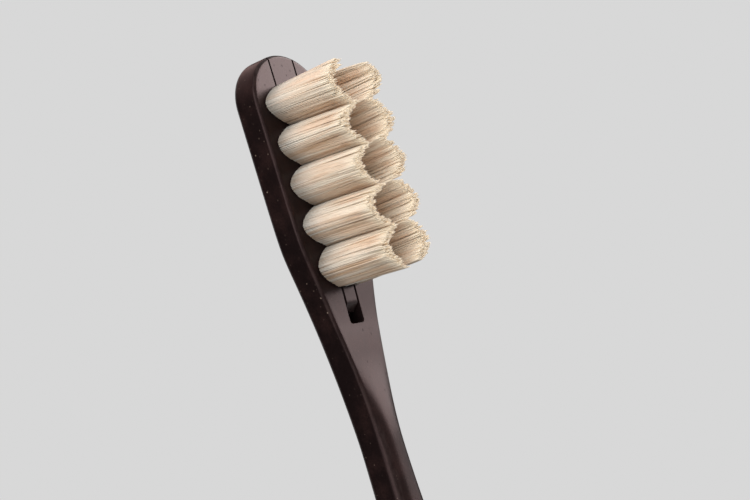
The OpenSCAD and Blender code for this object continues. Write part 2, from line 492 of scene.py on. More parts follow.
@dataclass
class Blank:
    """The handle before its channel is cut: a loft through many fine sections."""

    kit: MeshKit
    form: BrushForm
    back_steps: int = 9
    wall_steps: int = 2
    edge_steps: int = 7
    face_steps: int = 27
    tip_start_deg: float = 2.0
    tip_steps: int = 28
    end_steps: int = 26
    head_steps: int = 22
    flare_steps: int = 64
    grip_rise_steps: int = 56
    grip_steps: int = 30

    def stations(self) -> Array:
        """Places of the sections along the brush.

        Returns:
            Distances from the tip.
        """
        f = self.form
        tip = np.radians(np.linspace(self.tip_start_deg, 90, self.tip_steps))
        end = np.radians(np.linspace(90, self.tip_start_deg, self.end_steps))
        bounds = (f.tip_l, f.head_l - f.shoulder_round, f.neck_x, f.grip_x, f.handle_l - f.end_l)
        steps = (self.head_steps, self.flare_steps, self.grip_rise_steps, self.grip_steps)
        runs = [np.linspace(*run)[1:] for run in zip(bounds[:-1], bounds[1:], steps)]
        return np.concatenate([
            f.tip_l * (1 - np.cos(tip)), *runs, f.handle_l - f.end_l * (1 - np.cos(end[1:]))])

    def rim(self, x: float) -> Array:
        """Side of one section from the back to the crown, as insets and heights.

        Args:
            x: Place of the section.

        Returns:
            Rows of inset from the outline and height.
        """
        f = self.form
        back, top = float(f.back_z(x)), float(f.edge_z(x))
        inset = float(f.towards_grip(x, f.face_edge, f.grip_face_edge))
        back_r = float(f.towards_grip(x, f.back_round, f.grip_round))
        half = max(float(f.half_w(x)) - inset, inset)
        slope = math.atan(float(f.crown_power(x)) * float(f.crown(x)) / half)
        edge_r = inset / (1 - math.sin(slope))
        t = np.linspace(0, math.pi / 2, self.back_steps)
        turn = np.linspace(0, math.pi / 2 - slope, self.edge_steps)
        centre_z = top - edge_r * math.cos(slope)
        wall = np.linspace(back + back_r, centre_z, self.wall_steps + 2)[1:-1]
        return np.concatenate([
            np.column_stack([back_r * (1 - np.sin(t)), back + back_r * (1 - np.cos(t))]),
            np.column_stack([np.zeros(len(wall)), wall]),
            np.column_stack([edge_r * (1 - np.cos(turn)), centre_z + edge_r * np.sin(turn)]),
        ])

    def ring(self, x: float, y: float, normal: Array) -> Array:
        """Makes one closed section.

        Args:
            x: Place of the section.
            y: Its half width.
            normal: The outline's direction outward there.

        Returns:
            Points from the back on the +Y side round to the back on the other.
        """
        rim = self.rim(x)
        side = np.column_stack([x - rim[:, 0] * normal[0], y - rim[:, 0] * normal[1], rim[:, 1]])
        share = np.linspace(1, -1, self.face_steps + 2)[1:-1]
        edge = side[-1]
        rise = float(self.form.crown(x)) * (1 - np.abs(share) ** float(self.form.crown_power(x)))
        face = at_x(edge[0], np.column_stack([edge[1] * share, edge[2] + rise]))
        return np.concatenate([side, face, (side * [1, -1, 1])[::-1]])

    def build(self, name: str, last_x: float = math.inf) -> Thing:
        """Lofts the closed solid from the tip.

        Args:
            name: Name of the object.
            last_x: Where the loft ends, if that is before the end of the brush.

        Returns:
            The closed solid.
        """
        xs = self.stations()
        xs = xs[xs <= last_x]
        line = np.column_stack([xs, self.form.half_w(xs)])
        mirror = [1, -1]
        before = np.vstack([line[0] * mirror, line[:-1]])
        after = np.vstack([line[1:], line[-1] * mirror if math.isinf(last_x) else line[-1]])
        along = after - before
        normals = np.column_stack([-along[:, 1], along[:, 0]]) / np.linalg.norm(along, axis=1)[:, None]
        rings = [self.ring(x, y, normal) for (x, y), normal in zip(line, normals)]
        count, side = len(rings[0]), len(self.rim(xs[0]))
        faces = ring_walls(len(rings), count)
        for start in (0, (len(rings) - 1) * count):
            cap = [(start + k, start + k + 1, start + count - 2 - k, start + count - 1 - k)
                   for k in range(side - 1)]
            cap.append(tuple(start + j for j in range(side - 1, count - side + 1)))
            faces += cap if start else [tuple(reversed(face)) for face in cap]
        return self.kit.build(name, np.concatenate(rings), faces)


@dataclass
class ChannelTools:
    """Tool solids that cut the channel and trim the carrier, with softened edges at the face."""

    kit: MeshKit
    design: Design
    x_steps: int = 24
    corner_steps: int = 9

    def tee(self, end_x: float, mouth: float, clear: float, flare: float) -> Thing:
        """Solid with the section of an upside-down T, whose top edges follow the face.

        Args:
            end_x: Where the solid ends.
            mouth: Half width of the stem.
            clear: How far the foot stays inside the undercut.
            flare: How far the stem widens at the face; less than zero narrows it.

        Returns:
            The tool solid.
        """
        form, over, reach = self.design.brush, self.design.channel.over, abs(flare)
        flange = self.design.channel.flange_w / 2 - clear
        low, lip = self.design.floor_z + clear, self.design.lip_z - clear
        rings = []
        for x in np.linspace(-over, end_x, self.x_steps):
            top = float(form.edge_z(max(x, 0)))
            half = np.array([
                [flange, low], [flange, lip], [mouth, lip], [mouth, top - reach],
                [mouth + 2 * flare, top + reach], [mouth + 2 * flare, form.face_z + over],
            ])
            rings.append(at_x(x, both_sides(half, (-1, 1))))
        return self.kit.stack("tee_tool", rings)

    def slot(self) -> Thing:
        """Makes the narrow slot in the neck, with round corners at its end.

        Returns:
            The tool solid.
        """
        c = self.design.channel
        centre = c.slot_x - c.slot_round
        straight = np.linspace(c.strip_l - c.clear, centre, self.x_steps)
        turn = np.radians(np.linspace(90, 0, self.corner_steps))[1:]
        rings = []
        for grow, above in ((0, None), (0, -c.edge), (2 * c.edge, c.edge), (2 * c.edge, c.over)):
            radius = c.slot_round + grow
            wall = np.column_stack([straight, np.full(len(straight), c.slot_w / 2 + grow)])
            corner = np.column_stack([centre + radius * np.cos(turn),
                                      c.slot_w / 2 - c.slot_round + radius * np.sin(turn)])
            plan = both_sides(np.vstack([wall, corner]), (1, -1))
            z = self.design.floor_z if above is None else self.design.brush.edge_z(plan[:, 0]) + above
            rings.append(at_z(z, plan))
        return self.kit.stack("slot_tool", rings)


class NodeSheet:
    """Short ways to place and join the nodes of one tree."""

    speck_least = 0.5
    speck_edge = 0.45

    def __init__(self, tree: bpy.types.NodeTree) -> None:
        """Keeps the tree that the nodes go into, and empties it."""
        self.tree = tree
        tree.nodes.clear()

    @classmethod
    def of(cls, owner: bpy.types.Material | bpy.types.World) -> NodeSheet:
        """The empty sheet of a material or of the world."""
        owner.use_nodes = True
        return cls(owner.node_tree)

    def feed(self, target: Socket, value: object) -> None:
        """Links a socket to a target, or sets the target's own value.

        Args:
            target: The input to feed.
            value: A socket, a number, a vector or a colour.
        """
        if isinstance(value, Socket):
            self.tree.links.new(value, target)
        elif target.type == "RGBA":
            target.default_value = (*value, 1.0)
        else:
            target.default_value = value

    def node(self, kind: str, values: dict[str | int, object] | None = None, **settings: object) -> Outputs:
        """Adds a node.

        Args:
            kind: Type of the node.
            values: Sockets or values for its inputs, by their names or numbers.
            **settings: Its properties.

        Returns:
            The node's outputs.
        """
        made = self.tree.nodes.new(kind)
        for name, value in settings.items():
            setattr(made, name, value)
        for name, value in (values or {}).items():
            self.feed(made.inputs[name], value)
        return made.outputs

    def maths(self, operation: str, *values: object, clamp: bool = False) -> Socket:
        """Result of a Math node."""
        return self.node("ShaderNodeMath", dict(enumerate(values)), operation=operation, use_clamp=clamp)[0]

    def plus(self, *values: object, clamp: bool = False) -> Socket:
        """Sum of values, added one after the other."""
        return reduce(lambda total, value: self.maths("ADD", total, value, clamp=clamp), values)

    def times(self, *values: object, clamp: bool = False) -> Socket:
        """Product of values, multiplied one after the other."""
        return reduce(lambda total, value: self.maths("MULTIPLY", total, value, clamp=clamp), values)

    def span(self, *values: object) -> Socket:
        """Eased change as a value goes from low to high, from 0 to 1 or between two more values."""
        ends = values if len(values) == 5 else (*values, 0.0, 1.0)
        return self.node("ShaderNodeMapRange", dict(enumerate(ends)), interpolation_type="SMOOTHSTEP")[0]

    def mix(self, share: object, first: object, second: object) -> Socket:
        """Mix of two colours."""
        return self.node("ShaderNodeMix", {0: share, 6: first, 7: second}, data_type="RGBA")[2]

    def height(self, vector: object) -> Socket:
        """The third part of a vector."""
        return self.node("ShaderNodeSeparateXYZ", {0: vector})[2]

    def stretch(self, vector: object, sizes: Point) -> Socket:
        """Coordinates in units of the given sizes in millimetres."""
        units = tuple(1 / (size * MM) for size in sizes)
        return self.node("ShaderNodeVectorMath", {0: vector, 1: units}, operation="MULTIPLY")[0]

    def noise(self, vector: object, sizes: Point, detail: float = 2.0, roughness: float = 0.5,
              distortion: float = 0.0) -> Socket:
        """Noise whose grains are about as large as is asked.

        Args:
            vector: Coordinates in metres.
            sizes: Sizes of the grains in millimetres.
            detail: How many finer layers it has.
            roughness: How strong the finer layers are.
            distortion: How far the grains are bent.

        Returns:
            The noise, from 0 to 1.
        """
        return self.node("ShaderNodeTexNoise", {
            "Vector": self.stretch(vector, sizes), "Scale": 1.0, "Detail": detail, "Roughness": roughness,
            "Distortion": distortion})[0]

    def specks(self, vector: object, sizes: Point, share: object, radius: object) -> tuple[Socket, Socket]:
        """Round specks in a share of the cells of a loose grid.

        Args:
            vector: Coordinates in metres.
            sizes: Sizes of a cell in millimetres.
            share: Share of the cells that hold a speck.
            radius: Mean radius in cells.

        Returns:
            The specks' mask, and a tone from 0 to 1 for each speck.
        """
        cells = self.node(
            "ShaderNodeTexVoronoi", {"Vector": self.stretch(vector, sizes), "Scale": 1.0}, feature="F1")
        parts = self.node("ShaderNodeSeparateColor", {0: cells["Color"]})
        chosen = self.maths("LESS_THAN", parts[0], share)
        reach = self.times(radius, self.plus(parts[1], self.speck_least))
        inside = self.maths("SUBTRACT", 1.0, self.maths("DIVIDE", cells["Distance"], reach), clamp=True)
        return self.times(chosen, self.span(inside, 0.0, self.speck_edge)), parts[2]


class EffectGroup:
    """A shader node group that is built once and placed in each material that uses it."""

    name = "effect"
    inputs: dict[str, str] = {}
    outputs: dict[str, str] = {}

    def tree(self) -> bpy.types.NodeTree:
        """The group's tree, built at its first use.

        Returns:
            The tree, the same one for every material.
        """
        known = bpy.data.node_groups.get(self.name)
        if known:
            return known
        tree = bpy.data.node_groups.new(self.name, "ShaderNodeTree")
        for way, sockets in (("INPUT", self.inputs), ("OUTPUT", self.outputs)):
            for name, kind in sockets.items():
                tree.interface.new_socket(name=name, in_out=way, socket_type=kind)
        sheet = NodeSheet(tree)
        drawn = self.draw(sheet, sheet.node("NodeGroupInput"))
        sheet.node("NodeGroupOutput", drawn)
        return tree

    def draw(self, sheet: NodeSheet, given: Outputs) -> dict[str, Socket]:
        """Builds the effect's nodes.

        Args:
            sheet: Where the nodes go.
            given: The group's inputs.

        Returns:
            The socket that feeds each output, by the output's name.
        """
        raise NotImplementedError

    def place(self, sheet: NodeSheet, finish: Finish, **joined: object) -> Outputs:
        """Puts the group into a material.

        Args:
            sheet: The material's nodes.
            finish: What holds the values of the other inputs, in fields of the same names.
            **joined: Sockets or values for inputs, by their names in small letters and with _ for a space.

        Returns:
            The outputs of the placed group.
        """
        values = {}
        for name in self.inputs:
            key = name.lower().replace(" ", "_")
            values[name] = joined[key] if key in joined else getattr(finish, key)
        return sheet.node("ShaderNodeGroup", values, node_tree=self.tree())


class CompositeGrain(EffectGroup):
    """Mottling, fine grain and pale flecks of plant fibre moulded into a dark resin."""

    name = "Composite grain"
    inputs = {
        "Vector": VECTOR, "Base": COLOUR, "Dark": COLOUR, "Light": COLOUR, "Fleck": COLOUR, "Mottle": FLOAT,
        "Grain": FLOAT, "Fleck Share": FLOAT, "Fleck Level": FLOAT, "Roughness": FLOAT}
    outputs = {"Color": COLOUR, "Roughness": FLOAT, "Height": FLOAT}

    mottle_mm = (3.2, 2.2, 2.2)
    mottle_detail = 3.0
    mottle_span = (0.4, 0.7)
    grain_mm = (0.22, 0.18, 0.18)
    grain_rough = 0.6
    grain_span = (0.62, 0.36)
    dark_mm = (0.62, 0.5, 0.5)
    dark_share = 0.12
    dark_radius = 0.24
    dark_depth = 0.4
    fleck_mm = (0.5, 0.42, 0.42)
    fleck_radius = 0.18
    fleck_span = (0.45, 1.0, 0.1, 1.0)
    rough_swing = 0.1
    rough_speck = 0.25

    def draw(self, sheet: NodeSheet, given: Outputs) -> dict[str, Socket]:
        """Builds the nodes of the grain.

        Args:
            sheet: Where the nodes go.
            given: The group's inputs.

        Returns:
            The socket that feeds each output, by the output's name.
        """
        at = given["Vector"]
        mottle = sheet.noise(at, self.mottle_mm, self.mottle_detail)
        grain = sheet.noise(at, self.grain_mm, roughness=self.grain_rough)
        darks, _ = sheet.specks(at, self.dark_mm, self.dark_share, self.dark_radius)
        flecks, pale = sheet.specks(at, self.fleck_mm, given["Fleck Share"], self.fleck_radius)
        tone = given["Base"]
        for share, over in (
            (sheet.times(sheet.span(mottle, *self.mottle_span), given["Mottle"]), given["Light"]),
            (sheet.times(sheet.span(grain, *self.grain_span), given["Grain"]), given["Dark"]),
            (sheet.times(darks, given["Grain"]), given["Dark"]),
            (sheet.times(flecks, sheet.span(pale, *self.fleck_span), given["Fleck Level"]), given["Fleck"]),
        ):
            tone = sheet.mix(share, tone, over)
        swing = sheet.maths("MULTIPLY_ADD", mottle, self.rough_swing, -self.rough_swing / 2)
        swing = sheet.plus(swing, sheet.times(darks, self.rough_speck))
        return {
            "Color": tone,
            "Roughness": sheet.plus(given["Roughness"], swing),
            "Height": sheet.maths("SUBTRACT", grain, sheet.times(darks, self.dark_depth)),
        }


class EdgeWearAndHighlight(EffectGroup):
    """A lighter colour where a flat side turns over an edge, broken up by noise: partly wear and partly a
    painted highlight.
    """

    name = "Edge wear and painted highlight"
    inputs = {"Vector": VECTOR, "Normal": VECTOR, "Color": COLOUR, "Worn": COLOUR, "Polish": FLOAT}
    outputs = {"Color": COLOUR}

    side_span = (0.15, 0.55)
    flat_span = (0.97, 0.75)
    patch_mm = (1.6, 0.5, 0.5)
    patch_detail = 3.0
    patch_span = (0.3, 0.65)

    def draw(self, sheet: NodeSheet, given: Outputs) -> dict[str, Socket]:
        """Builds the nodes of the edge wear and painted highlight.

        Args:
            sheet: Where the nodes go.
            given: The group's inputs.

        Returns:
            The socket that feeds each output, by the output's name.
        """
        tilt = sheet.maths("ABSOLUTE", sheet.height(given["Normal"]))
        patch = sheet.noise(given["Vector"], self.patch_mm, self.patch_detail)
        turn = sheet.times(sheet.span(tilt, *self.side_span), sheet.span(tilt, *self.flat_span))
        # The lighter edge colour is partly wear and partly a painted highlight along the turning edge.
        worn = sheet.times(turn, sheet.span(patch, *self.patch_span), given["Polish"])
        return {"Color": sheet.mix(worn, given["Color"], given["Worn"])}


class FlatAndShadedSide(EffectGroup):
    """One colour on flats that face up or down, and a darker one on sides, which is painted shade."""

    name = "Flat and painted side shade"
    inputs = {"Normal": VECTOR, "Flat": COLOUR, "Side": COLOUR}
    outputs = {"Color": COLOUR, "Sides": FLOAT}

    flat_span = (0.45, 0.98)

    def draw(self, sheet: NodeSheet, given: Outputs) -> dict[str, Socket]:
        """Builds the nodes of the change of colour.

        Args:
            sheet: Where the nodes go.
            given: The group's inputs.

        Returns:
            The socket that feeds each output, by the output's name.
        """
        # The side colour is painted shade: walls that face sideways are darker, as if less light fell on
        # them.
        flats = sheet.span(sheet.maths("ABSOLUTE", sheet.height(given["Normal"])), *self.flat_span)
        return {
            "Color": sheet.mix(flats, given["Side"], given["Flat"]),
            "Sides": sheet.maths("SUBTRACT", 1.0, flats),
        }


class FibreStreaks(EffectGroup):
    """Tone of each bristle, streaks along it, painted shade towards the roots, and pale frayed tips."""

    name = "Fibre streaks"
    inputs = {
        "Vector": VECTOR, "Shade": FLOAT, "Root": COLOUR, "Base": COLOUR, "Warm": COLOUR, "Deep": COLOUR,
        "Tip": COLOUR, "Root Start": FLOAT, "Root End": FLOAT, "Tip Start": FLOAT, "Tip End": FLOAT,
        "Streak": FLOAT}
    outputs = {"Color": COLOUR, "Roughness": FLOAT, "Height": FLOAT}

    fibre_mm = (0.12, 0.12, 3.5)
    fibre_dark = (0.5, 0.75, 0.0, 0.25)
    clump_mm = (0.55, 0.55, 14.0)
    clump_distortion = 0.3
    clump_dark = (0.42, 0.72, 0.0, 0.5)
    shade_dark = (0.45, 1.0, 0.0, 0.6)
    blush_mm = (1.1, 1.1, 9.0)
    blush_detail = 1.0
    blush_span = (0.42, 0.66)
    rough_span = (0.2, 0.8, 0.42, 0.6)

    def draw(self, sheet: NodeSheet, given: Outputs) -> dict[str, Socket]:
        """Builds the nodes of the streaks.

        Args:
            sheet: Where the nodes go.
            given: The group's inputs.

        Returns:
            The socket that feeds each output, by the output's name.
        """
        at = given["Vector"]
        fibre = sheet.noise(at, self.fibre_mm)
        clump = sheet.noise(at, self.clump_mm, distortion=self.clump_distortion)
        blush = sheet.noise(at, self.blush_mm, self.blush_detail)
        # Dark strands follow random noise and the shade attribute, which also carries painted shade from the
        # pad and the lobes' flanks.
        dark = sheet.plus(
            sheet.span(clump, *self.clump_dark), sheet.span(given["Shade"], *self.shade_dark),
            sheet.span(fibre, *self.fibre_dark))
        z = sheet.height(at)
        past_root = sheet.span(z, given["Root Start"], given["Root End"])
        at_tip = sheet.span(z, given["Tip Start"], given["Tip End"])
        tone = sheet.mix(sheet.span(blush, *self.blush_span), given["Base"], given["Warm"])
        # Towards the roots the tone turns to the root colour, which is painted shade.
        tone = sheet.mix(past_root, given["Root"], tone)
        tone = sheet.mix(sheet.times(dark, given["Streak"], clamp=True), tone, given["Deep"])
        return {
            "Color": sheet.mix(at_tip, tone, given["Tip"]),
            "Roughness": sheet.span(fibre, *self.rough_span),
            "Height": fibre,
        }


@dataclass(frozen=True, kw_only=True)
class Finish:
    """What every finish shares: a named material with one Principled shader."""

    name: str
    specular: float
    relief_mm: float
    tint: Colour = (1.0, 1.0, 1.0)

    def material(self) -> bpy.types.Material:
        """The finish's material, built at its first use.

        Returns:
            The material.
        """
        known = bpy.data.materials.get(self.name)
        if known:
            return known
        made = bpy.data.materials.new(self.name)
        sheet = NodeSheet.of(made)
        colour, surface = self.dress(sheet, sheet.node("ShaderNodeTexCoord"))
        bump = sheet.node("ShaderNodeBump", {"Distance": self.relief_mm * MM, "Height": surface["Height"]})
        shader = sheet.node("ShaderNodeBsdfPrincipled", {
            "Base Color": colour, "Roughness": surface["Roughness"], "Specular IOR Level": self.specular,
            "Specular Tint": self.tint, "Normal": bump[0]})
        sheet.node("ShaderNodeOutputMaterial", {"Surface": shader[0]})
        return made

    def dress(self, sheet: NodeSheet, at: Outputs) -> tuple[Socket, Outputs]:
        """Places the finish's effects.

        Args:
            sheet: The material's nodes.
            at: Texture coordinates of the surface.

        Returns:
            The colour, and the group that gives the roughness and the height of the relief.
        """
        raise NotImplementedError


@dataclass(frozen=True, kw_only=True)
class CompositeFinish(Finish):
    """Satin dark bio-composite, reddish on its flats, with painted shade that makes its sides nearly black.
    """

    flat: Colour = (0.0125, 0.0066, 0.0061)
    # The side colour is painted shade: a darker colour on the walls that face sideways.
    side: Colour = (0.01, 0.0061, 0.0061)
    dark: Colour = (0.006, 0.0035, 0.0035)
    light: Colour = (0.042, 0.021, 0.019)
    fleck: Colour = (0.2, 0.15, 0.12)
    # The lighter edge colour: partly wear, partly a painted highlight.
    worn: Colour = (0.064, 0.046, 0.043)
    mottle: float = 0.35
    grain: float = 0.45
    fleck_share: float = 0.42
    flat_flecks: float = 0.12
    # How strongly the edge wear and painted highlight show.
    polish: float = 0.3
    roughness: float = 0.31
    specular: float = 0.13
    tint: Colour = (1.0, 0.66, 0.66)
    relief_mm: float = 0.004

    def dress(self, sheet: NodeSheet, at: Outputs) -> tuple[Socket, Outputs]:
        """Places colours with painted shade on the sides, grain, and edge wear with a painted highlight.

        Args:
            sheet: The material's nodes.
            at: Texture coordinates of the surface.

        Returns:
            The colour, and the group that gives the roughness and the height of the relief.
        """
        # The flats keep their colour and the sides take the darker one, which is painted shade.
        flat_and_shaded_sides = FlatAndShadedSide().place(sheet, self, normal=at["Normal"])
        level = sheet.maths("MAXIMUM", flat_and_shaded_sides["Sides"], self.flat_flecks)
        grain = CompositeGrain().place(
            sheet, self, vector=at["Object"], base=flat_and_shaded_sides["Color"], fleck_level=level)
        worn = EdgeWearAndHighlight().place(
            sheet, self, vector=at["Object"], normal=at["Normal"], color=grain["Color"])
        return worn["Color"], grain


@dataclass(frozen=True, kw_only=True)
class BristleFinish(Finish):
    """Natural cream plant fibre with a pale tip."""

    tip_z: float
    root_z: float
    # The root colour is painted shade: the bristles darken over their lowest root_l millimetres, where shade
    # falls between them.
    root: Colour = (0.71, 0.67, 0.6)
    warm: Colour = (0.91, 0.72, 0.55)
    base: Colour = (0.93, 0.825, 0.68)
    # The deep colour is the dark tone of random strands and, through the shade attribute, also painted shade.
    deep: Colour = (0.5, 0.32, 0.19)
    tip: Colour = (0.97, 0.87, 0.7)
    root_l: float = 5.0
    tip_l: float = 2.2
    streak: float = 0.8
    specular: float = 0.3
    relief_mm: float = 0.006

    def dress(self, sheet: NodeSheet, at: Outputs) -> tuple[Socket, Outputs]:
        """Places the streaks.

        Args:
            sheet: The material's nodes.
            at: Texture coordinates of the surface.

        Returns:
            The colour, and the group that gives the roughness and the height of the relief.
        """
        streaks = FibreStreaks().place(
            sheet, self, vector=at["Object"],
            shade=sheet.node("ShaderNodeAttribute", attribute_name=SHADE_NAME)["Fac"],
            root_start=self.root_z * MM, root_end=(self.root_z + self.root_l) * MM,
            tip_start=(self.tip_z - self.tip_l) * MM, tip_end=self.tip_z * MM)
        return streaks["Color"], streaks


@dataclass
class Assembly:
    """A visible piece: what makes it, its measures and its finish."""

    kit: MeshKit
    design: Design
    finish: Finish

    def seat(self, piece: Thing, body: Body, slot: Slot, *nodes: str) -> Thing:
        """Dresses a piece in its finish, ties it to its body and hides the CAD nodes that it stands for.

        Args:
            piece: The finished mesh.
            body: Body that carries it.
            slot: Material slot of the record. Not used.
            *nodes: CAD nodes that it replaces.

        Returns:
            The piece.
        """
        piece.data.materials.clear()
        piece.data.materials.append(self.finish.material())
        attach(piece, body.value)
        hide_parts(*nodes)
        return piece


@dataclass
class Handle(Assembly):
    """The moulded head, neck and grip, with its channel and slot."""

    def build(self) -> Thing:
        """Lofts the blank and cuts the channel, its undercut and the slot.

        Returns:
            The handle.
        """
        c, d = self.design.channel, self.design
        piece = Blank(self.kit, d.brush).build("moulded_handle")
        tools = ChannelTools(self.kit, d)
        for tool in (tools.tee(c.strip_l + c.clear, c.strip_w / 2, 0, c.edge), tools.slot()):
            self.kit.carve(piece, tool, Cut.REMOVE)
        self.kit.shade(piece)
        return self.seat(piece, Body.HANDLE, Slot.HANDLE, "handle")


@dataclass
class Carrier(Assembly):
    """The flanged strip that slides in the channel, with the wavy bed under the bristles."""

    bay_steps: int = 24

    def build(self) -> Thing:
        """Trims the blank to the strip and its flanges, and adds the web and the bed.

        Returns:
            The carrier.
        """
        c, d = self.design.channel, self.design
        piece = Blank(self.kit, d.brush).build("cartridge_carrier", d.brush.neck_x)
        tool = ChannelTools(self.kit, d).tee(c.strip_l, c.strip_w / 2 - c.strip_gap, c.clear, -c.edge)
        self.kit.carve(piece, tool, Cut.KEEP)
        self.kit.join(piece, self.web(), self.bed())
        self.kit.shade(piece)
        return self.seat(piece, Body.CARTRIDGE, Slot.CARRIER, "bristle_carrier")

    def web(self) -> Thing:
        """Rib that joins the bed to the strip.

        Returns:
            The closed rib.
        """
        c, d = self.design.channel, self.design
        half = c.web_w / 2
        low, high = d.lip_z, d.root_z + c.bed_t / 2
        square = np.array([[-half, low], [half, low], [half, high], [-half, high]])
        ends = (d.field.field_x + c.web_inset, c.strip_l - c.web_inset)
        return self.kit.stack("web", [at_x(x, square) for x in ends])

    def bed(self) -> Thing:
        """Wavy plate on the floor of the rings, with a softened upper edge.

        Returns:
            The closed plate.
        """
        c, g = self.design.channel, self.design.field
        side = []
        for bay in range(len(g.bay_shares)):
            u = np.linspace(0, 1, self.bay_steps + 1)[min(bay, 1):]
            side.append(np.column_stack([g.x_at(bay, u), g.inner_y(bay, u) - c.bed_gap]))
        half = np.concatenate(side)
        low = self.design.root_z
        levels = ((low, 0.0), (low + c.bed_t - c.edge, 0.0), (low + c.bed_t, c.edge))
        rings = [at_z(z, both_sides(half - [0, inset], (1, -1))) for z, inset in levels]
        return self.kit.stack("bed", rings)


@dataclass
class ReleaseTongue(Assembly):
    """The narrow sprung end of the carrier, with the ramp that a fingernail presses."""

    flat_steps: int = 12
    ramp_steps: int = 9
    ramp_deg: float = 45.0
    ramp_round: float = 0.35

    def profile(self) -> Array:
        """Places and heights of the upper side, from the root to the foot of the ramp.

        Returns:
            Rows of place and height.
        """
        c, f = self.design.channel, self.design.brush
        ramp, top = c.ramp_x, float(f.edge_z(c.ramp_x))
        slope = math.radians(self.ramp_deg)
        back = self.ramp_round * math.tan(slope / 2)
        flat = np.linspace(c.strip_l + c.root_gap, ramp - back, self.flat_steps)
        turn = np.linspace(0, slope, self.ramp_steps)[1:]
        bend = np.column_stack([ramp - back + self.ramp_round * np.sin(turn),
                                top - self.ramp_round * (1 - np.cos(turn))])
        foot = [ramp + c.ramp_l, top - c.ramp_l * math.tan(slope)]
        return np.vstack([np.column_stack([flat, f.edge_z(flat)]), bend, foot])

    def build(self) -> Thing:
        """Makes the tongue as one closed solid with softened upper edges.

        Returns:
            The tongue.
        """
        c = self.design.channel
        half = c.slot_w / 2 - c.tongue_gap
        under = float(self.design.brush.edge_z(c.ramp_x)) - c.tongue_t
        rings = []
        for x, top in self.profile():
            right = np.array([[half, under], [half, top - c.edge], [half - c.edge, top]])
            rings.append(at_x(x, both_sides(right, (-1, 1))))
        piece = self.kit.stack("sprung_tongue", rings)
        self.kit.shade(piece)
        return self.seat(piece, Body.TONGUE, Slot.CARRIER, "release_tongue")


def paint(piece: Thing, tones: Array) -> None:
    """Writes a tone to each point of a mesh, for the bristles' finish."""
    piece.data.attributes.new(SHADE_NAME, "FLOAT", "POINT").data.foreach_set("value", tones)


